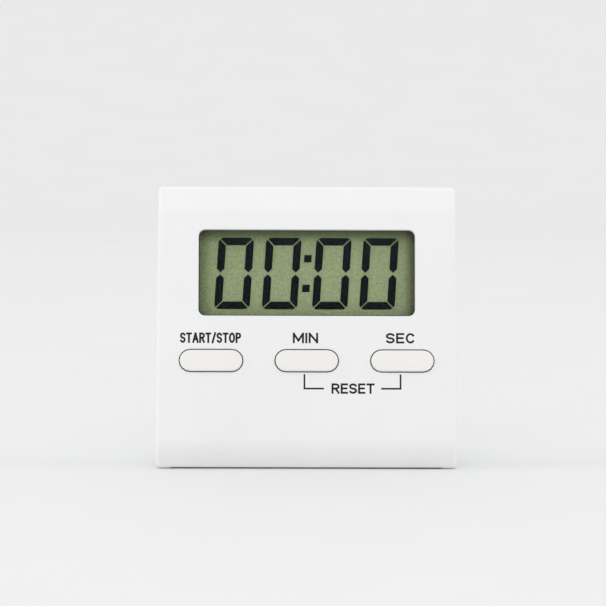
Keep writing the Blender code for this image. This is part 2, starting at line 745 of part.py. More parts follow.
def build_board():
    edge = rounded_rectangle(
        2 * BOARD_HALF_WIDTH, BOARD_TOP - BOARD_BOTTOM, MM, (0, (BOARD_TOP + BOARD_BOTTOM) / 2), steps=2
    )
    holes = [arc((x * MM, y * MM), 1.0 * MM, 0, 337.5, 15) for x, y in BOARD_SCREWS]
    finish(plate("circuit_board", [edge, *holes], BOARD_BACK, BOARD_FRONT, face), "board_laminate")

    blob_height, blob_radius = 1.3 * MM, 4.6 * MM
    lift = BOARD_BACK - FIT
    dome = [(blob_radius * math.cos(a), -blob_height * math.sin(a)) for a in (0, 0.3, 0.6, 0.95, 1.25)]
    blob = turned("controller_blob", [(0, 0), *dome, (0, -blob_height)], face, (0, 24 * MM, lift))
    finish(blob, "epoxy")

    crystal_at = (0, 33.5 * MM, lift - MM)
    crystal = cylinder("quartz_crystal", MM, -3 * MM, 3 * MM, face, crystal_at, axis="X", segments=20)
    finish(crystal, "tin")

    chips = {
        "chip_resistor_1": (-5.6, 33.5),
        "chip_resistor_2": (-5.6, 30.5),
        "chip_capacitor_1": (7.5, 33.5),
        "chip_capacitor_2": (7.5, 30.5),
    }
    for name, (x, y) in chips.items():
        height = 0.5 * MM if "resistor" in name else 0.9 * MM
        half_length, half_width = 1.0 * MM, 0.62 * MM
        low = (-half_length, -half_width, -height)
        chip = box(name, low, (half_length, half_width, 0), face, (x * MM, y * MM, lift))
        finish(chip, "epoxy" if "resistor" in name else "chip_ceramic")


# ---------------------------------------------------------------- power, sound, magnet


def build_cell():
    """A button cell: a wide can, open towards the inside of the case, round a smaller cap."""
    x, y = CELL_AT
    top = -LEDGE_TOP
    foot = top - CELL_THICKNESS
    cap_radius, cap_step = 4.9 * MM, 1.3 * MM
    edge = 0.25 * MM
    profile = [
        (0, top),
        (CELL_RADIUS - edge, top),
        (CELL_RADIUS, top - edge),
        (CELL_RADIUS, foot + cap_step),
        (CELL_RADIUS - edge, foot + cap_step - edge),
        (cap_radius, foot + cap_step - edge),
        (cap_radius, foot + edge),
        (cap_radius - edge, foot),
        (0, foot),
    ]
    finish(turned("button_cell", profile, rear, (x, y, 0), steps=32), "nickel")


def build_contacts():
    x, y = CELL_AT
    metal, width = 0.2 * MM, 3 * MM
    seat = -CELL_FLOOR + 0.2 * MM
    finger = [(-10.4 * MM, seat), (-4.5 * MM, seat), (0, seat + 0.3 * MM), (2.6 * MM, seat + 0.22 * MM)]
    lying = (math.pi / 2, 0, 0)  # local Y along the depth, local Z along the height
    negative = strip("negative_contact", finger, metal, width, rear, (x, y, 0), lying)
    finish(negative, "nickel")

    side = CELL_RADIUS + 0.25 * MM
    blade = [(side + 3.4 * MM, -9 * MM), (side, -9 * MM), (side, -4 * MM)]
    on_edge = Matrix(((0, 0, 1), (1, 0, 0), (0, 1, 0))).to_euler()  # local X up, local Y along the depth
    positive = strip("positive_contact", blade, metal, width, rear, (x, y, 0), on_edge)
    finish(positive, "nickel")


def build_sounder():
    x, y = SOUNDER_AT
    brass_front = -3.3 * MM
    plate_back = brass_front - 0.3 * MM
    brass = cylinder("sounder_plate", SOUNDER_RADIUS, plate_back, brass_front, rear, (x, y, 0), segments=40)
    finish(brass, "brass")
    ceramic_front = plate_back - FIT
    ceramic = cylinder("sounder_ceramic", 5 * MM, ceramic_front - 0.2 * MM, ceramic_front, rear, (x, y, 0))
    finish(ceramic, "piezo_ceramic")


def build_magnet():
    edge = 0.3 * MM
    top, foot = -0.1 * MM, -0.1 * MM - MAGNET_THICKNESS
    radius = MAGNET_RADIUS
    profile = [
        (0, top),
        (radius - edge, top),
        (radius, top - edge),
        (radius, foot + edge),
        (radius - edge, foot),
        (0, foot),
    ]
    finish(turned("magnet", profile, rear, (*MAGNET_AT, 0), steps=40), "ferrite")


def build_wires():
    """Four insulated leads, from contact or sounder to a pad on the board's back (mm, rear frame)."""
    routes = {
        "cell_wire_red": (
            (21.6, 26.0, -8.3),
            (19.5, 27.6, -7.4),
            (14.5, 29.2, -7.4),
            (9.6, 29.0, -8.1),
            (8.2, 28.8, -8.75),
        ),
        "cell_wire_black": ((12.0, 18, -6.9), (10.4, 19.2, -6.7), (8.6, 20.6, -8.0), (8.2, 21.2, -10.2)),
        "sounder_wire_red": (
            (-19.5, 27.0, -4.5),
            (-17.6, 28.6, -5.6),
            (-12.6, 30.2, -7.2),
            (-10.0, 30.2, -8.6),
        ),
        "sounder_wire_black": (
            (-15.4, 24.0, -4.2),
            (-13.6, 23.4, -5.2),
            (-11.3, 22.6, -7.6),
            (-10.3, 22.4, -10.1),
        ),
    }
    for name, route in routes.items():
        finish(wire(name, route, 0.45 * MM, rear), "red_pvc" if "red" in name else "black_pvc")


# ---------------------------------------------------------------- door and stand


def build_door():
    """The round lid: a disc with a coin slot, and a collar with two bayonet lugs that grip the ledge."""
    x, y = CELL_AT
    collar_foot = 3.4 * MM
    disc_top, disc_foot = 0.1 * MM, 1.5 * MM
    lid = cylinder("battery_door", DOOR_RADIUS, -disc_foot, -disc_top, rear, (x, y, 0), segments=48)
    bevel = lid.modifiers.new("edge", "BEVEL")
    bevel.width = 0.25 * MM
    bevel.segments = 2
    bevel.limit_method = "ANGLE"
    bevel.angle_limit = math.radians(60)
    collar_outside = arc((0, 0), LEDGE_RADIUS - 0.2 * MM, 0, 351, 39)
    collar_inside = arc((0, 0), CELL_RADIUS + 0.4 * MM, 0, 348.75, 31)
    collar = [collar_outside, collar_inside]
    join(lid, [plate("collar", collar, -collar_foot, -disc_foot + 0.2 * MM, rear, (x, y, 0))])
    for turn in (0, 180):
        lug = sector(LUG_RADIUS, turn, LUG_ANGLE, inner=6.6 * MM)
        join(lid, [plate(f"lug_{turn}", [lug], -collar_foot + 0.05 * MM, -2.7 * MM, rear, (x, y, 0))])
    cut(lid, [plate("coin_slot", [pill(11 * MM, 1.8 * MM)], -0.9 * MM, MM, rear, (x, y, 0))])
    finish(lid, "white_abs")


def build_stand():
    """The easel leg: a flap with a rounded tip, and a pivot stub at each side of its top."""
    half = STAND_WIDTH / 2
    front = 0.2 * MM
    tip_radius = 4 * MM
    heel_top = HINGE_HEIGHT + HEEL
    length = heel_top - STAND_TIP
    middle = (0, (heel_top + STAND_TIP) / 2 - HINGE_HEIGHT)
    corner = 0.3 * MM
    outline = rounded_rectangle(STAND_WIDTH, length, corner, middle, steps=1)
    tip = -(HINGE_HEIGHT - STAND_TIP)
    left = arc((-half + tip_radius, tip + tip_radius), tip_radius, 180, 270, 6)
    right = arc((half - tip_radius, tip + tip_radius), tip_radius, 270, 360, 6)
    outline = [p for p in outline if p[1] > 0] + left + right
    at = (0, HINGE_HEIGHT, -HINGE_DEPTH)
    outside = HINGE_DEPTH - front
    leg = plate("stand", [outline], outside - STAND_THICKNESS, outside, rear, at)
    bevel = leg.modifiers.new("edge", "BEVEL")
    bevel.width = 0.25 * MM
    bevel.segments = 2
    bevel.limit_method = "ANGLE"
    bevel.angle_limit = math.radians(60)
    stub_reach = half + 1.4 * MM
    join(leg, [cylinder("pivot", PIVOT_RADIUS, -stub_reach, stub_reach, rear, at, axis="X", segments=24)])
    groove_floor = outside - 0.3 * MM
    grip = []
    for row in (2, 3, 4):
        low = (-5 * MM, tip + row * MM, groove_floor)
        high = (5 * MM, tip + (row + 0.5) * MM, 2 * MM)
        grip.append(box(f"grip_{row}", low, high, rear, at))
    cut(leg, grip)
    finish(leg, "white_abs")


# ---------------------------------------------------------------- screws


def screw_mesh(name, head_radius, head_height, shank_radius, length):
    """A cross-head self-tapping screw along -Z, with its head's seat at z = 0."""
    profile = [
        (0, head_height),
        (head_radius * 0.6, head_height),
        (head_radius * 0.95, head_height * 0.6),
        (head_radius, 0),
        (shank_radius, 0),
        (shank_radius, -length * 0.75),
        (shank_radius * 0.3, -length),
        (0, -length),
    ]
    screw = turned(name, profile, steps=20)
    reach, half, depth = head_radius * 0.6, head_radius * 0.13, head_height * 0.6
    low = head_height - depth
    slot_x = box(f"{name}_slot_x", (-reach, -half, low), (reach, half, 2 * head_height))
    narrow, high = half * 1.01, 2.1 * head_height
    slot_y = box(f"{name}_slot_y", (-narrow, -reach, low * 1.01), (narrow, reach, high))
    cut(screw, [slot_x, slot_y])
    finish(screw, "zinc_steel")
    mesh = screw.data
    bpy.data.objects.remove(screw)
    return mesh


def build_screws():
    case_screw = screw_mesh("case_screw", 1.9 * MM, 1.4 * MM, 1.0 * MM, 6.8 * MM)
    for place, (x, y) in case_screw_places().items():
        placed(f"case_screw_{place}", case_screw, rear, (x, y, -WELL_DEPTH + 0.05 * MM))
    board_screw = screw_mesh("board_screw", 1.5 * MM, 0.9 * MM, 0.8 * MM, 4.2 * MM)
    for number, (x, y) in enumerate(BOARD_SCREWS, 1):
        made = placed(f"board_screw_{number}", board_screw, face, (x * MM, y * MM, BOARD_BACK - 0.05 * MM))
        made.rotation_euler = (math.pi, 0, 0)


clear_scene()
parts = collection("desk_timer")
helpers = collection("helpers")
face = frame("face_frame", (0, FACE_Y, 0), (math.pi / 2 - LEAN, 0, 0))
rear = frame("rear_frame", (0, REAR_Y, 0), (math.pi / 2, 0, math.pi))
build_front_case()
build_rear_case()
build_display()
build_keys()
build_keypad_mat()
build_board()
build_cell()
build_contacts()
build_sounder()
build_magnet()
build_wires()
build_door()
build_stand()
build_screws()
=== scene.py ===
"""Looks for the lab timer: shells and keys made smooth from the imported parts, the display and its digits,
printed legends, moulded marks, procedural materials for every part, and a pale studio."""

import math

import bmesh
import bpy
from mathutils import Matrix, Vector


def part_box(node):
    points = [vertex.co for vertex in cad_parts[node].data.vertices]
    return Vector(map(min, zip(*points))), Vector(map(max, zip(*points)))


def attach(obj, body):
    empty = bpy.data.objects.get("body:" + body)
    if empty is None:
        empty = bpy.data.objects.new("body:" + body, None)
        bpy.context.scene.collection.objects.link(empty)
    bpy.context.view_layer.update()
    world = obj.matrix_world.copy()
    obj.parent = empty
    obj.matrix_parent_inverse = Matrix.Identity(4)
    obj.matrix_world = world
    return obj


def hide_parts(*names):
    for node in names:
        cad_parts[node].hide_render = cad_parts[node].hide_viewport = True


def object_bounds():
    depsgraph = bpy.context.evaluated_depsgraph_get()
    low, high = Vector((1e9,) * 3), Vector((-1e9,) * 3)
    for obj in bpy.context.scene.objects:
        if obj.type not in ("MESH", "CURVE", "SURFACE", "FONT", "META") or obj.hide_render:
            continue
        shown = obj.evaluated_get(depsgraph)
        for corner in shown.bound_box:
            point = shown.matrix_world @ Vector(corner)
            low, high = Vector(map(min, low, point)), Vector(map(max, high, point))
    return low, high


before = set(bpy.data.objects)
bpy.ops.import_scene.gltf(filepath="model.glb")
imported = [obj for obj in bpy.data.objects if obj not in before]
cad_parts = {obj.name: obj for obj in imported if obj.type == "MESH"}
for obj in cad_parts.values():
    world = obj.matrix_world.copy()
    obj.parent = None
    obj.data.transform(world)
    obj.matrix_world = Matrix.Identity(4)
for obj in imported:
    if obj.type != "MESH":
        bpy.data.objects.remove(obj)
cad_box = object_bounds()

MM = 0.001
LEAN = math.radians(8)
REAR_Y = cad_box[1][1]

# ---------------------------------------------------------------- the front face's own coordinates

UP = Vector((0, math.sin(LEAN), math.cos(LEAN)))
OUT = Vector((0, -math.cos(LEAN), math.sin(LEAN)))


def find_face_origin():
    """The point where the front face's plane meets z = 0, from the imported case's own flat face."""
    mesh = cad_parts["front_case"].data
    parallel = 0.9999
    flats = [p for p in mesh.polygons if p.normal.dot(OUT) > parallel]
    reach = max(p.center.dot(OUT) for p in flats)
    return Vector((0, -reach / math.cos(LEAN), 0))


FACE = find_face_origin()


def face_coordinates(point):
    """(x, up the face, out of the face)"""
    offset = Vector(point) - FACE
    return offset.x, offset.dot(UP), offset.dot(OUT)


def face_matrix(x=0, up=0, out=0):
    """Places an object's X to the right, Y up the face and Z out of it."""
    turn = Matrix((Vector((1, 0, 0)), UP, OUT)).transposed().to_4x4()
    return Matrix.Translation(FACE + Vector((x, 0, 0)) + UP * up + OUT * out) @ turn


def rear_matrix(x, up, out):
    """Places an object's X to the right as seen from behind, Y up and Z out of the rear face."""
    turn = Matrix(((-1, 0, 0), (0, 0, 1), (0, 1, 0))).to_4x4()
    return Matrix.Translation((-x, REAR_Y + out, up)) @ turn


def node_span(node, axis):
    """The lowest and highest face coordinate of a node: axis 0 is x, 1 is up the face, 2 is out of it."""
    values = [face_coordinates(v.co)[axis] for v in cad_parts[node].data.vertices]
    return min(values), max(values)


WINDOW_SIZE = (47.4 * MM, 18.9 * MM)
WINDOW_RADIUS = 1.45 * MM
WINDOW_UP = sum(node_span("display_lens", 1)) / 2

# ---------------------------------------------------------------- shader helpers

PAINTED_SHADE_BLUE = 0.87  # painted shade is slightly warm, because only this share of its blue is left


class Graph:
    """A material's node tree, with short ways to add the nodes that these materials use."""

    def __init__(self, name):
        self.material = bpy.data.materials.new(name)
        self.material.use_nodes = True
        self.tree = self.material.node_tree
        self.shader = self.tree.nodes["Principled BSDF"]
        self.position = self.add("ShaderNodeTexCoord").outputs["Object"]

    def add(self, kind, inputs=None, **settings):
        node = self.tree.nodes.new(kind)
        for key, value in settings.items():
            setattr(node, key, value)
        for key, value in (inputs or {}).items():
            self.put(node.inputs[key], value)
        return node

    def put(self, socket, value):
        if isinstance(value, bpy.types.NodeSocket):
            self.tree.links.new(value, socket)
        else:
            socket.default_value = value

    def set(self, **inputs):
        for key, value in inputs.items():
            self.put(self.shader.inputs[key.replace("_", " ").title().replace("Ior", "IOR")], value)

    def noise(self, size, detail=2.0, roughness=0.5, stretch=None):
        """Noise whose features are about this size, in metres."""
        vector = self.position
        if stretch:
            vector = self.add("ShaderNodeMapping", {"Vector": vector, "Scale": stretch}).outputs["Vector"]
        inputs = {"Vector": vector, "Scale": 1 / size, "Detail": detail, "Roughness": roughness}
        return self.add("ShaderNodeTexNoise", inputs).outputs["Fac"]

    def ramp(self, value, low, high, at=(0.3, 0.7)):
        """Maps a value between two numbers."""
        inputs = {"Value": value, "From Min": at[0], "From Max": at[1], "To Min": low, "To Max": high}
        return self.add("ShaderNodeMapRange", inputs).outputs["Result"]

    def mix(self, factor, first, second):
        node = self.add("ShaderNodeMix", {"Factor": factor}, data_type="RGBA")
        self.put(node.inputs["A"], first)
        self.put(node.inputs["B"], second)
        return node.outputs["Result"]

    def shade(self, colour, coordinate, full, end, left_over):
        """Paints shade into a colour: darkens it smoothly towards one place along a coordinate, from another
        that is left alone.
        """
        ends = {"Value": coordinate, "From Min": end, "From Max": full}
        amount = self.add("ShaderNodeMapRange", ends, interpolation_type="SMOOTHSTEP").outputs["Result"]
        node = self.add("ShaderNodeMix", {"Factor": amount}, data_type="RGBA", blend_type="MULTIPLY")
        self.put(node.inputs["A"], colour)
        self.put(node.inputs["B"], (left_over, left_over, left_over * PAINTED_SHADE_BLUE, 1))
        return node.outputs["Result"]

    def bump(self, height, distance, strength, normal=None):
        inputs = {"Height": height, "Distance": distance, "Strength": strength}
        if normal is not None:
            inputs["Normal"] = normal
        return self.add("ShaderNodeBump", inputs).outputs["Normal"]

    def soft_edges(self, radius):
        return self.add("ShaderNodeBevel", {"Radius": radius}, samples=4).outputs["Normal"]


def rgba(colour, factor=1.0):
    return (*(min(1, c * factor) for c in colour), 1)


def moulded_plastic(name, colour, roughness, grain=0.22 * MM):
    """Spark-eroded moulded plastic: a fine grain, faint flow marks, uneven polish, and softened edges."""
    g = Graph(name)
    flow = g.noise(14 * MM, 3, stretch=(1, 1, 0.5))
    g.set(
        base_color=g.mix(g.ramp(flow, 0, 1), rgba(colour, 0.985), rgba(colour, 1.01)),
        roughness=g.ramp(g.noise(5 * MM, 4, 0.6), roughness - 0.05, roughness + 0.05),
        specular_ior_level=0.45,
        normal=g.bump(g.noise(grain, 3, 0.6), 0.004 * MM, 0.6, g.soft_edges(0.12 * MM)),
    )
    return g.material


def ink(name, colour, gloss=0.3):
    """Pad-printed ink, or a display's dark segments: slightly uneven in tone and roughness. The gloss is how
    strongly it reflects."""
    g = Graph(name)
    density = g.noise(0.3 * MM, 3)
    g.set(
        base_color=g.mix(g.ramp(density, 0, 1), rgba(colour, 0.9), rgba(colour, 1.2)),
        roughness=g.ramp(density, 0.5, 0.6),
        specular_ior_level=gloss,
        normal=g.bump(density, 0.001 * MM, gloss),
    )
    return g.material


def clear_sheet(name, tint, gloss=0.09):
    """A clear window: it lets light straight through and adds a faint, slightly wavy reflection."""
    g = Graph(name)
    clear = g.add("ShaderNodeBsdfTransparent", {"Color": rgba(tint)})
    g.set(
        base_color=(0.01, 0.01, 0.01, 1),
        roughness=g.ramp(g.noise(3 * MM, 4, 0.7), 0.03, 0.09),
        specular_ior_level=0.5,
        normal=g.bump(g.noise(6 * MM, 1), 0.004 * MM, 0.3),
    )
    share = g.add("ShaderNodeMixShader", {0: gloss, 1: clear.outputs["BSDF"], 2: g.shader.outputs["BSDF"]})
    g.put(g.tree.nodes["Material Output"].inputs["Surface"], share.outputs["Shader"])
    return g.material


def display_back(name, colour):
    """A diffuse reflector seen through a polarising film: fine sparkle over a grey-green ground. Painted
    shade makes it darker at the top and sides, where the window's edge keeps light off the real reflector."""
    g = Graph(name)
    sparkle = g.noise(0.36 * MM, 1, 0.5)
    cloud = g.noise(2.4 * MM, 3, 0.6)
    warm = tuple(c * f for c, f in zip(colour, (1.1, 1.0, 0.94)))
    ground = g.mix(g.ramp(cloud, 0, 1), rgba(colour, 0.94), rgba(warm, 1.02))
    dark = g.mix(g.ramp(sparkle, 1, 0, (0.33, 0.5)), ground, rgba(colour, 0.84))
    speckled = g.mix(g.ramp(sparkle, 0, 1, (0.5, 0.67)), dark, rgba(warm, 1.14))
    place = g.add("ShaderNodeSeparateXYZ", {"Vector": g.position}).outputs
    half_width, top = WINDOW_SIZE[0] / 2, WINDOW_UP + WINDOW_SIZE[1] / 2
    # painted shade: the colour darkens towards the window's top and sides, standing in for the window edge's
    # shadow
    shaded = g.shade(speckled, place["Y"], top, top - 2.8 * MM, 0.47)
    shaded = g.shade(shaded, place["X"], half_width, half_width - 2.6 * MM, 0.46)
    shaded = g.shade(shaded, place["X"], -half_width, -half_width + 3.2 * MM, 0.74)
    g.set(
        base_color=shaded,
        roughness=g.ramp(sparkle, 0.5, 0.7),
        specular_ior_level=0.1,
        normal=g.bump(sparkle, 0.004 * MM, 0.4),
    )
    return g.material


def metal(name, colour, roughness, grain=(1, 1, 1), size=0.25 * MM, wear=0.15):
    """Bare or plated metal with fine drawing marks, tarnish patches and softened edges."""
    g = Graph(name)
    marks = g.noise(size, 3, 0.6, stretch=grain)
    tarnish = g.noise(2.5 * MM, 5, 0.65)
    g.set(
        metallic=1.0,
        base_color=g.mix(g.ramp(tarnish, 0, 1), rgba(colour, 1 - wear), rgba(colour)),
        roughness=g.ramp(tarnish, roughness + 0.12, roughness),
        normal=g.bump(marks, 0.003 * MM, 0.4, g.soft_edges(0.08 * MM)),
    )
    return g.material


def rubber(name, colour, roughness, see_through=0.0):
    """Silicone, carbon-filled rubber, epoxy or a cut edge: an even tone with fine dust and flow."""
    g = Graph(name)
    dust = g.noise(0.5 * MM, 5, 0.7)
    g.set(
        base_color=g.mix(g.ramp(dust, 0, 0.5, (0.5, 0.8)), rgba(colour), rgba(colour, 1.25)),
        roughness=g.ramp(g.noise(2 * MM, 3), roughness - 0.08, roughness + 0.08),
        subsurface_weight=see_through,
        subsurface_scale=0.6 * MM,
        normal=g.bump(dust, 0.006 * MM, 0.5, g.soft_edges(0.1 * MM)),
    )
    return g.material


def board(name):
    """Green solder mask over woven laminate, with tracks showing through as paler green."""
    g = Graph(name)
    spacing = {"Vector": g.position, "Scale": 1 / (1.8 * MM)}
    cells = g.add("ShaderNodeTexVoronoi", spacing, distance="CHEBYCHEV", feature="DISTANCE_TO_EDGE")
    track = g.ramp(cells.outputs["Distance"], 1, 0, (0.06, 0.09))
    weave = g.noise(0.35 * MM, 2, stretch=(1, 4, 1))
    mask = g.mix(g.ramp(weave, 0, 1), (0.03, 0.16, 0.055, 1), (0.045, 0.21, 0.075, 1))
    g.set(
        base_color=g.mix(track, mask, (0.10, 0.36, 0.13, 1)),
        roughness=g.ramp(weave, 0.3, 0.42),
        normal=g.bump(track, 0.02 * MM, 0.5, g.bump(weave, 0.004 * MM, 0.4)),
    )
    return g.material


def layered_strip(name):
    """An elastomer connector: conductive and plain layers in turn along its length."""
    g = Graph(name)
    layer = 0.9 * MM
    scale = 1 / layer / (2 * math.pi)
    bands = g.add("ShaderNodeTexWave", {"Vector": g.position, "Scale": scale, "Distortion": 0.2})
    g.set(
        base_color=g.mix(g.ramp(bands.outputs["Fac"], 0, 1), (0.62, 0.30, 0.34, 1), (0.10, 0.07, 0.08, 1)),
        roughness=0.6,
        normal=g.bump(g.noise(0.3 * MM), 0.004 * MM, 0.4),
    )
    return g.material


def sintered(name, colour, size, roughness):
    """Pressed and fired powder: ferrite or ceramic, with pits and a faint sparkle."""
    g = Graph(name)
    pits = g.noise(size, 4, 0.7)
    g.set(
        base_color=g.mix(g.ramp(pits, 0, 1), rgba(colour, 0.75), rgba(colour, 1.3)),
        roughness=g.ramp(pits, roughness + 0.1, roughness - 0.1),
        normal=g.bump(pits, 0.02 * MM, 0.5, g.soft_edges(0.15 * MM)),
    )
    return g.material


WHITE = (0.83, 0.83, 0.84)
KEY_WHITE = (0.84, 0.825, 0.80)
LOOKS = {
    "case": moulded_plastic("white_abs_look", WHITE, 0.42),
    "key": moulded_plastic("key_abs_look", KEY_WHITE, 0.46, grain=0.3 * MM),
    "legend": ink("legend_ink", (0.008, 0.008, 0.009)),
    "segment": ink("display_segment", (0.005, 0.0085, 0.011), 0.0),
    # a dark ring that shows as a thin dark line just inside the window's edge
    "dark_ring": ink("lens_tape_look", (0.035, 0.04, 0.03), 0.1),
    "lens": clear_sheet("clear_acrylic_look", (1, 1, 1)),
    "glass": clear_sheet("display_glass_look", (0.985, 1, 0.985), 0.04),
    "film": clear_sheet("polariser_look", (0.93, 0.95, 0.90), 0.04),
    "glass_edge": rubber("glass_edge_look", (0.30, 0.40, 0.34), 0.2),
    "film_edge": rubber("polariser_edge_look", (0.05, 0.06, 0.045), 0.4),
    "reflector": display_back("reflector_painted_shade_look", (0.385, 0.494, 0.272)),
    "silicone": rubber("silicone_look", (0.55, 0.57, 0.58), 0.5, 0.3),
    "carbon": rubber("carbon_rubber_look", (0.02, 0.02, 0.02), 0.7),
    "connector": layered_strip("connector_look"),
    "board": board("board_look"),
    "epoxy": rubber("epoxy_look", (0.012, 0.012, 0.012), 0.3),
    "tin": metal("tin_look", (0.70, 0.70, 0.68), 0.28, grain=(0.2, 1, 1)),
    "chip": sintered("chip_ceramic_look", (0.40, 0.31, 0.20), 0.2 * MM, 0.5),
    "brass": metal("brass_look", (0.78, 0.60, 0.28), 0.3, wear=0.3),
    "piezo": sintered("piezo_look", (0.78, 0.76, 0.70), 0.25 * MM, 0.5),
    "ferrite": sintered("ferrite_look", (0.075, 0.075, 0.08), 0.25 * MM, 0.5),
    "nickel": metal("nickel_look", (0.72, 0.71, 0.68), 0.24, wear=0.1),
    "zinc": metal("zinc_look", (0.66, 0.67, 0.70), 0.3, size=0.15 * MM, wear=0.2),
    "red": moulded_plastic("red_pvc_look", (0.50, 0.03, 0.025), 0.42, grain=0.4 * MM),
    "black": moulded_plastic("black_pvc_look", (0.02, 0.02, 0.02), 0.42, grain=0.4 * MM),
}
NODE_LOOKS = {
    "front_case": "case",
    "rear_case": "case",
    "stand": "case",
    "battery_door": "case",
    "display_lens": "lens",
    "front_polariser": "film",
    "lcd_front_glass": "glass",
    "lcd_rear_glass": "glass",
    "rear_reflector": "reflector",
    "lcd_connector": "connector",
    "keypad_mat": "silicone",
    "circuit_board": "board",
    "controller_blob": "epoxy",
    "quartz_crystal": "tin",
    "sounder_plate": "brass",
    "sounder_ceramic": "piezo",
    "magnet": "ferrite",
    "button_cell": "nickel",
}
WORD_LOOKS = {
    "button": "key",
    "screw": "zinc",
    "resistor": "epoxy",
    "capacitor": "chip",
    "wire_red": "red",
    "wire_black": "black",
    "positive": "nickel",
    "negative": "nickel",
    "contact": "carbon",
}


def look_of(node):
    if node in NODE_LOOKS:
        return LOOKS[NODE_LOOKS[node]]
    return LOOKS[next(look for word, look in WORD_LOOKS.items() if word in node)]


def dress(obj, look):
    obj.data.materials.clear()
    obj.data.materials.append(look)
    return obj


for node_name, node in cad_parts.items():
    dress(node, look_of(node_name))


# ---------------------------------------------------------------- smooth shells, keys and rear parts

EDGE_ROUND = 0.16 * MM
SAME_POINT = 0.002 * MM
SAME_PLANE = math.radians(0.3)
BENT_EDGE = 0.6  # radians: an edge that turns more than this can be rounded
SHARP_EDGE = math.radians(32)
NEAR = 0.01 * MM  # an edge this near a face lies on it


def add_piece(name, mesh, body, look, matrix=None):
    made = bpy.data.objects.new(name, mesh)
    bpy.context.scene.collection.objects.link(made)
    if matrix is not None:
        made.matrix_world = matrix
    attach(made, body)
    return dress(made, look)


def softened(node, name, body, pick=None):
    """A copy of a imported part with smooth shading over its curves, and real rounds on the bent edges that
    pick chooses."""
    bm = bmesh.new()
    bm.from_mesh(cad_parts[node].data)
    bmesh.ops.remove_doubles(bm, verts=bm.verts, dist=SAME_POINT)
    bmesh.ops.dissolve_limit(bm, angle_limit=SAME_PLANE, verts=bm.verts, edges=bm.edges)
    if pick:
        bent = [e for e in bm.edges if len(e.link_faces) == 2 and e.calc_face_angle() > BENT_EDGE]
        edges = [e for e in bent if pick(e)]
        bmesh.ops.bevel(bm, geom=edges, offset=EDGE_ROUND, segments=3, profile=0.5, affect="EDGES")
    mesh = bpy.data.meshes.new(name)
    bm.to_mesh(mesh)
    bm.free()
    mesh.shade_smooth()
    mesh.set_sharp_from_angle(angle=SHARP_EDGE)
    made = add_piece(name, mesh, body, look_of(node))
    weighted = made.modifiers.new("even_shading", "WEIGHTED_NORMAL")
    weighted.keep_sharp = True
    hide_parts(node)


def on_front_face(edge):
    return all(abs(face_coordinates(v.co)[2]) < NEAR for v in edge.verts)


def on_rear_face(edge):
    return all(abs(v.co.y - REAR_Y) < NEAR for v in edge.verts)


softened("front_case", "front_shell", "case", on_front_face)
softened("rear_case", "rear_shell", "case", on_rear_face)
for key in ("start_stop", "minute", "second"):
    softened(f"{key}_button", f"{key}_key_cap", f"{key}_key")
softened("stand", "stand_leg", "stand")
softened("battery_door", "cell_door", "door")


# ---------------------------------------------------------------- display

DIGIT_HEIGHT = 15.78 * MM
DIGIT_WIDTH = 7.8 * MM
SEGMENT = 1.68 * MM
SEGMENT_GAP = 0.34 * MM  # between two segments that meet at a corner, measured along either
SEGMENT_TIP = 0.2 * MM  # from the middle of the digit to an upright's point
SEGMENT_THICKNESS = 0.03 * MM
CORNER_RADIUS = 1.0 * MM
SLANT = math.tan(math.radians(3.6))
DIGIT_PLACES = [x * MM for x in (-15.94, -5.47, 5.59, 15.99)]
DIGIT_UP = WINDOW_UP + 0.15 * MM
COLON_PLACE = 0.07 * MM
COLON_REACH = 3.28 * MM  # from the middle of the digits to the middle of a dot
COLON_DOT = 0.82 * MM  # half of a dot's side

# The digits lie between the two glasses, where the liquid crystal is
SEGMENT_OUT = (node_span("lcd_rear_glass", 2)[1] + node_span("lcd_front_glass", 2)[0]) / 2 - 0.02 * MM


def flat_solid(outlines, thickness):
    """A mesh of thin flat pieces, each with its own outline in X and Y and its back at z = 0."""
    bm = bmesh.new()
    for outline in outlines:
        back, front = ([bm.verts.new((x, y, out)) for x, y in outline] for out in (0, thickness))
        bm.faces.new(back[::-1])
        bm.faces.new(front)
        for i in range(len(outline)):
            bm.faces.new((back[i - 1], back[i], front[i], front[i - 1]))
    bmesh.ops.recalc_face_normals(bm, faces=bm.faces)
    mesh = bpy.data.meshes.new("flat")
    bm.to_mesh(mesh)
    bm.free()
    return mesh


def oval(middle_x, middle_y, radius_x, radius_y, start, end, steps=12):
    """Points along an arc of an oval; angles in degrees."""
    angles = [math.radians(start + (end - start) * i / steps) for i in range(steps + 1)]
    return [(middle_x + radius_x * math.cos(a), middle_y + radius_y * math.sin(a)) for a in angles]


def rectangle(low_x, low_y, high_x, high_y):
    return [(low_x, low_y), (high_x, low_y), (high_x, high_y), (low_x, high_y)]


def rounded_outline(low_x, high_x, low_y, high_y):
    """The window's outline with these limits: a rectangle with rounded corners, anticlockwise."""
    corners = ((high_x, high_y, 0), (low_x, high_y, 90), (low_x, low_y, 180), (high_x, low_y, 270))
    points = []
    for x, y, start in corners:
        centre_x = x - math.copysign(WINDOW_RADIUS, x)
        centre_y = y - math.copysign(WINDOW_RADIUS, y)
        points += oval(centre_x, centre_y, WINDOW_RADIUS, WINDOW_RADIUS, start, start + 90, 8)
    return points


def slanted(outline):
    return [(x + y * SLANT, y) for x, y in outline]


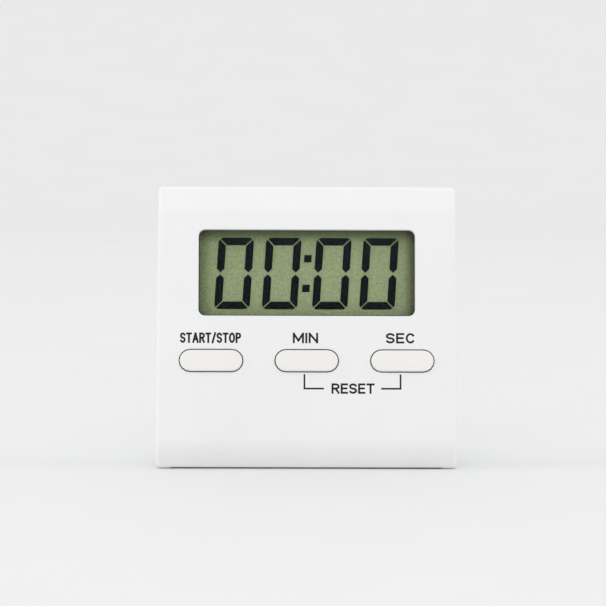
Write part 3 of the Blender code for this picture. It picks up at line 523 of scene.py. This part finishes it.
def zero_segments():
    """The six dark segments of a seven-segment nought, centred on its middle."""
    half_width, half_height, t = DIGIT_WIDTH / 2, DIGIT_HEIGHT / 2, SEGMENT
    gap, tip, radius = SEGMENT_GAP, SEGMENT_TIP, CORNER_RADIUS
    # The rounded corner is a quarter turn. The gap splits it in the middle, between the upright and the bar.
    corner = oval(-half_width + radius, half_height - radius, radius, radius, 180, 90, 8)
    middle = len(corner) // 2
    upright_corner = [(x, y - gap / 2) for x, y in corner[: middle + 1]]
    bar_corner = [(x + gap / 2, y) for x, y in corner[middle:]]
    bar = [
        *bar_corner,
        *[(-x, y) for x, y in bar_corner[::-1]],
        (half_width - t - gap / 2, half_height - t),
        (-half_width + t + gap / 2, half_height - t),
    ]
    upright = [
        *upright_corner,
        (-half_width + t, half_height - t - gap / 2),
        (-half_width + t, tip + t / 2),
        (-half_width + t / 2, tip),
        (-half_width, tip + t / 2),
    ]
    outlines = []
    for side in (1, -1):
        outlines.append([(x, side * y) for x, y in bar])
        outlines += [[(mirror * x, side * y) for x, y in upright] for mirror in (1, -1)]
    return [slanted(outline) for outline in outlines]


def display_stack():
    """The display's films and glasses as one piece. Its middle is open down to the reflector, because the
    films and glasses over that are clear, so the digits stand off it as they do in the real sandwich."""
    half = node_span("lcd_front_glass", 0)[1]
    foot, top = node_span("lcd_front_glass", 1)
    glass_back, glass_front = node_span("lcd_rear_glass", 2)[0], node_span("lcd_front_glass", 2)[1]
    film_front = node_span("front_polariser", 2)[1]
    mirror_back = node_span("rear_reflector", 2)[0]
    mirror_front = SEGMENT_OUT - 0.07 * MM  # seen through glass, the reflector seems nearer than it is
    step = node_span("lcd_rear_glass", 1)[0] - foot
    rings = [
        # (inset at the sides and top, inset at the foot, out, material of the band that ends here:
        # 0 the reflector, 1 a glass edge, 2 a film edge)
        (0.5 * MM, step + 0.5 * MM, mirror_back, 0),
        (0.5 * MM, step + 0.5 * MM, glass_back, 1),
        (0, step, glass_back, 1),
        (0, step, glass_back + 0.9 * MM, 1),
        (0, 0, glass_back + 1.0 * MM, 1),
        (0, 0, glass_front - 0.1 * MM, 1),
        (0.1 * MM, 0.1 * MM, glass_front, 1),
        (0.5 * MM, 1.3 * MM, glass_front, 1),
        (0.55 * MM, 1.35 * MM, film_front, 2),
        (0.85 * MM, 1.7 * MM, film_front, 2),
        (0.9 * MM, 1.75 * MM, mirror_front, 2),
    ]
    bm = bmesh.new()
    loops = []
    for inset, foot_inset, out, _ in rings:
        low, high = foot + foot_inset, top - inset
        corners = [(-half + inset, low), (half - inset, low), (half - inset, high), (-half + inset, high)]
        loops.append([bm.verts.new((x, up, out)) for x, up in corners])
    for low_loop, high_loop, (*_, band) in zip(loops, loops[1:], rings[1:]):
        for i in range(4):
            quad = (low_loop[i - 1], low_loop[i], high_loop[i], high_loop[i - 1])
            bm.faces.new(quad).material_index = band
    bm.faces.new(loops[0][::-1]).material_index = 0
    bm.faces.new(loops[-1]).material_index = 0
    bmesh.ops.recalc_face_normals(bm, faces=bm.faces)
    mesh = bpy.data.meshes.new("display_stack")
    bm.to_mesh(mesh)
    bm.free()
    bands = [p.material_index for p in mesh.polygons]
    made = add_piece("display_stack", mesh, "case", LOOKS["reflector"], face_matrix())
    for look in ("glass_edge", "film_edge"):
        mesh.materials.append(LOOKS[look])
    mesh.polygons.foreach_set("material_index", bands)
    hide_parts("front_polariser", "lcd_front_glass", "lcd_rear_glass", "rear_reflector")


def window_dark_ring():
    """A thin dark ring between the case and the lens, which just shows as a dark line inside the window's
    edge.
    """
    case_back, lens_front = -1.8 * MM, node_span("display_lens", 2)[1]
    middle, half_thickness = (case_back + lens_front) / 2, 0.03 * MM
    back, front = middle - half_thickness, middle + half_thickness
    side, lower, upper, width = 0.16 * MM, 0.24 * MM, 0.1 * MM, 1.0 * MM
    half_width, half_height = WINDOW_SIZE[0] / 2, WINDOW_SIZE[1] / 2
    inner = rounded_outline(side - half_width, half_width - side, lower - half_height, half_height - upper)
    outer = [(x * (1 + width / half_width), y * (1 + width / half_height)) for x, y in inner]
    bm = bmesh.new()
    loops = []
    for outline, out in ((outer, back), (outer, front), (inner, front), (inner, back)):
        loops.append([bm.verts.new((x, WINDOW_UP + y, out)) for x, y in outline])
    for first, second in zip(loops, loops[1:] + loops[:1]):
        for i in range(len(first)):
            bm.faces.new((first[i - 1], first[i], second[i], second[i - 1]))
    bmesh.ops.recalc_face_normals(bm, faces=bm.faces)
    mesh = bpy.data.meshes.new("window_dark_ring")
    bm.to_mesh(mesh)
    bm.free()
    add_piece("window_dark_ring", mesh, "case", LOOKS["dark_ring"], face_matrix())


def displayed(name, outlines, x):
    mesh = flat_solid(outlines, SEGMENT_THICKNESS)
    add_piece(name, mesh, "case", LOOKS["segment"], face_matrix(x, DIGIT_UP, SEGMENT_OUT))


display_stack()
window_dark_ring()
for number, place in enumerate(DIGIT_PLACES, 1):
    displayed(f"display_digit_{number}", zero_segments(), place)
dots = [
    rectangle(COLON_PLACE - COLON_DOT, middle - COLON_DOT, COLON_PLACE + COLON_DOT, middle + COLON_DOT)
    for middle in (COLON_REACH, -COLON_REACH)
]
displayed("display_colon", [slanted(dot) for dot in dots], 0)


# ---------------------------------------------------------------- printed legends

PRINT_OUT = 0.004 * MM
PRINT_THICKNESS = 0.012 * MM
CAP_HEIGHT = 2.27 * MM
LETTER_STROKE = 0.43 * MM
BRACKET_STROKE = 0.37 * MM
LONGEST_MITRE = 2  # a corner's reach, as a multiple of half the stroke

BOWL = [(0, 1), (0.5, 1), *oval(0.5, 0.75, 0.5, 0.25, 90, -90)[1:], (0, 0.5)]
LETTERS = {
    # letter: (width as a share of the cap height, strokes in a box from 0 to 1 both ways)
    "S": (0.62, [oval(0.5, 0.75, 0.5, 0.25, 25, 270) + oval(0.5, 0.25, 0.5, 0.25, 90, -155)[1:]]),
    "T": (0.64, [[(0, 1), (1, 1)], [(0.5, 1), (0.5, 0)]]),
    "A": (0.74, [[(0, 0), (0.5, 1)], [(0.5, 1), (1, 0)], [(0.2, 0.33), (0.8, 0.33)]]),
    "R": (0.64, [[(0, 0), *BOWL], [(0.5, 0.5), (1, 0)]]),
    "P": (0.60, [[(0, 0), *BOWL]]),
    "O": (0.72, [oval(0.5, 0.5, 0.5, 0.5, 90, 450, 28)]),
    "C": (0.66, [oval(0.5, 0.5, 0.5, 0.5, 42, 318, 22)]),
    "M": (0.86, [[(0, 0), (0, 1)], [(0, 1), (0.5, 0.2)], [(0.5, 0.2), (1, 1)], [(1, 1), (1, 0)]]),
    "N": (0.70, [[(0, 0), (0, 1)], [(0, 1), (1, 0)], [(1, 0), (1, 1)]]),
    "E": (0.56, [[(1, 1), (0, 1), (0, 0), (1, 0)], [(0, 0.52), (0.88, 0.52)]]),
    "I": (0.0, [[(0, 0), (0, 1)]]),
    "/": (0.42, [[(0, -0.04), (1, 1.04)]]),
}


def ribbon(path, stroke):
    """The outline of a line of this width along a path: square ends half a width on, and mitred corners."""
    points = [Vector(p) for p in path]
    if path[0] != path[-1]:
        points[0] += (points[0] - points[1]).normalized() * stroke / 2
        points[-1] += (points[-1] - points[-2]).normalized() * stroke / 2
    left, right = [], []
    for i, here in enumerate(points):
        along = (here - points[i - 1]).normalized() if i else (points[1] - here).normalized()
        onward = (points[i + 1] - here).normalized() if i < len(points) - 1 else along
        across = (along + onward).normalized()
        reach = stroke / 2 / max(1 / LONGEST_MITRE, across.dot(along))
        side = Vector((-across.y, across.x)) * reach
        left.append(here + side)
        right.append(here - side)
    return [tuple(p) for p in right + left[::-1]]


def word_strokes(text, width, height, stroke, spacing):
    """The strokes of a word, fitted to a width, with its middle at x = 0 and its baseline at y = 0. The
    spacing is the gap between two letters, and the letters take the width that is left."""
    letter_height = height - stroke
    gap = stroke + spacing
    share = (width - stroke - gap * (len(text) - 1)) / sum(LETTERS[letter][0] for letter in text)
    x = (stroke - width) / 2
    strokes = []
    for letter in text:
        letter_width = LETTERS[letter][0] * share
        for path in LETTERS[letter][1]:
            placed = [(x + px * letter_width, stroke / 2 + py * letter_height) for px, py in path]
            strokes.append(ribbon(placed, stroke))
        x += letter_width + gap
    return strokes


def printed(name, outlines, x, up):
    mesh = flat_solid(outlines, PRINT_THICKNESS)
    add_piece(name, mesh, "case", LOOKS["legend"], face_matrix(x, up, PRINT_OUT))


def bracket(edge_x, inner_x):
    """An L from below a key down to the legend that it shares with its neighbour, with the foot of the keys'
    holes at y = 0."""
    top, foot, half = -0.4 * MM, -3.53 * MM, BRACKET_STROKE / 2
    low_x, high_x = sorted((edge_x - math.copysign(half, inner_x - edge_x), inner_x))
    upright = rectangle(edge_x - half, foot + half, edge_x + half, top)
    return [upright, rectangle(low_x, foot - half, high_x, foot + half)]


KEY_UP = sum(node_span("minute_button", 1)) / 2
HOLE_HALF_HEIGHT = 2.54 * MM
HOLE_TOP = KEY_UP + HOLE_HALF_HEIGHT
HOLE_FOOT = KEY_UP - HOLE_HALF_HEIGHT
LEGEND_UP = HOLE_TOP + 1.3 * MM
RESET_UP = HOLE_FOOT - 4.65 * MM
WORDS = {
    # name: (letters, x, up, width, gap between letters)
    "legend_left": ("START/STOP", -21.02 * MM, LEGEND_UP, 13.35 * MM, 0.1 * MM),
    "legend_middle": ("MIN", -0.29 * MM, LEGEND_UP, 5.52 * MM, 0.3 * MM),
    "legend_right": ("SEC", 20.48 * MM, LEGEND_UP, 6.4 * MM, 0.3 * MM),
    "legend_reset": ("RESET", 10.12 * MM, RESET_UP, 9.4 * MM, 0.24 * MM),
}
for name, (letters, x, up, width, spacing) in WORDS.items():
    printed(name, word_strokes(letters, width, CAP_HEIGHT, LETTER_STROKE, spacing), x, up)

BRACKETS = {
    # name: (x of the upright's middle, x where the foot ends)
    "bracket_left": (-0.5 * MM, 3.75 * MM),
    "bracket_right": (20.5 * MM, 16.26 * MM),
}
for name, (edge_x, inner_x) in BRACKETS.items():
    printed(name, bracket(edge_x, inner_x), 0, HOLE_FOOT)


# ---------------------------------------------------------------- moulded marks on the rear

MARK_HEIGHT = 0.2 * MM
PLUS_STROKE = 0.5 * MM
ARC_STROKE = 0.35 * MM
MARK_DOT = 0.55 * MM
LOCKED, OPEN = 90, 150  # where the door's pointer stands, in degrees


def moulded(name, outlines, body, x, up, out=0.0):
    mesh = flat_solid(outlines, MARK_HEIGHT)
    add_piece(name, mesh, body, LOOKS["case"], rear_matrix(x, up, out))


def door_marks():
    """A plus sign on the door for the cell's wide side, a pointer at its edge, and on the case a dot at each
    end of the pointer's turn, with an arc between them."""
    low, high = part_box("battery_door")
    door_x, door_up = -(low[0] + high[0]) / 2, (low[2] + high[2]) / 2
    radius = (high[0] - low[0]) / 2
    reach = radius + 1.7 * MM
    door_out = high[1] - REAR_Y - 0.02 * MM  # sunk a little, so that no gap shows under a mark
    plus_drop, arm, half = 4.6 * MM, 1.3 * MM, PLUS_STROKE / 2
    plus = [
        rectangle(-arm, -half, -half, half),
        rectangle(half, -half, arm, half),
        rectangle(-half, -arm, half, arm),
    ]
    moulded("door_plus", plus, "door", door_x, door_up - plus_drop, door_out)
    half_base, length, inset = 0.9 * MM, 1.4 * MM, 0.9 * MM
    pointer = [[(-half_base, -length), (half_base, -length), (0, 0)]]
    moulded("door_pointer", pointer, "door", door_x, door_up + radius - inset, door_out)
    dot = oval(0, 0, MARK_DOT, MARK_DOT, 0, 345, 23)
    for place, degrees in (("locked", LOCKED), ("open", OPEN)):
        angle = math.radians(degrees)
        dot_x, dot_up = door_x + reach * math.cos(angle), door_up + reach * math.sin(angle)
        moulded(f"{place}_dot", [dot], "case", dot_x, dot_up)
    clear = 8  # degrees from a dot's middle to the end of the arc
    travel = oval(0, 0, reach, reach, LOCKED + clear, OPEN - clear, 10)
    moulded("turn_arc", [ribbon(travel, ARC_STROKE)], "case", door_x, door_up)


door_marks()


# ---------------------------------------------------------------- studio


def dish():
    """A pale round floor that curves up at its rim, so that it fills the background from every side."""
    flat, radius, rim, steps, sides = 1.2, 1.2, math.radians(50), 20, 128
    profile = [(flat / 4, 0), (flat / 2, 0), (flat, 0)]
    for step in range(1, steps + 1):
        angle = rim * step / steps
        profile.append((flat + radius * math.sin(angle), radius * (1 - math.cos(angle))))
    bm = bmesh.new()
    rings = []
    for reach, height in profile:
        turns = [2 * math.pi * side / sides for side in range(sides)]
        rings.append([bm.verts.new((reach * math.cos(a), reach * math.sin(a), height)) for a in turns])
    bm.faces.new(rings[0])
    for inner, outer in zip(rings, rings[1:]):
        for i in range(sides):
            bm.faces.new((inner[i - 1], outer[i - 1], outer[i], inner[i]))
    mesh = bpy.data.meshes.new("studio_floor")
    bm.to_mesh(mesh)
    bm.free()
    mesh.shade_smooth()
    made = bpy.data.objects.new("studio_floor", mesh)
    bpy.context.scene.collection.objects.link(made)
    g = Graph("studio_paper")
    g.set(
        base_color=g.mix(g.ramp(g.noise(40 * MM, 3), 0, 1), (0.765, 0.775, 0.77, 1), (0.775, 0.785, 0.78, 1)),
        roughness=0.85,
        specular_ior_level=0.1,
    )
    dress(made, g.material)


def area_light(name, place, aim, size, power):
    data = bpy.data.lights.new(name, "AREA")
    data.shape = "RECTANGLE"
    data.size, data.size_y = size
    data.energy = power
    light = bpy.data.objects.new(name, data)
    bpy.context.scene.collection.objects.link(light)
    light.location = place
    light.rotation_euler = (Vector(aim) - Vector(place)).to_track_quat("-Z", "Y").to_euler()


def studio():
    """A bright even world, a large soft light in front, one at each side, and one for the floor behind."""
    dish()
    world = bpy.data.worlds.new("studio_world")
    world.use_nodes = True
    background = world.node_tree.nodes["Background"]
    background.inputs["Color"].default_value = (1.0, 0.993, 0.998, 1)
    background.inputs["Strength"].default_value = 0.94
    bpy.context.scene.world = world
    timer = (0, 0, 0.03)
    area_light("key", (-0.15, -1.05, 0.6), timer, (1.1, 0.6), 2.0)
    area_light("backdrop", (0, 1.0, 1.4), (0, 2.0, 0.25), (2.0, 0.8), 1.8)
    area_light("left_side", (-1.5, -0.1, 0.8), timer, (0.8, 0.8), 4.5)
    area_light("right_side", (1.5, -0.1, 0.8), timer, (0.8, 0.8), 3.5)


def camera():
    """A long lens, almost straight in front of the timer and slightly above it."""
    elevation, turn, roll = math.radians(4), math.radians(-1.0), math.radians(0.25)
    distance, view_width = 0.6, 0.1327  # the width of the view is measured at the timer
    aim = Vector((-0.83 * MM, -5 * MM, 36.1 * MM))
    level = Vector((math.sin(turn), -math.cos(turn), 0))
    away = level * math.cos(elevation) + Vector((0, 0, math.sin(elevation)))
    data = bpy.data.cameras.new("camera")
    data.lens = data.sensor_width * distance / view_width
    made = bpy.data.objects.new("camera", data)
    bpy.context.scene.collection.objects.link(made)
    made.location = aim + away * distance
    facing = (-away).to_track_quat("-Z", "Y").to_matrix()
    made.rotation_euler = (facing @ Matrix.Rotation(roll, 3, "Z")).to_euler()
    bpy.context.scene.camera = made


studio()
camera()
bpy.context.scene.view_settings.view_transform = "Standard"
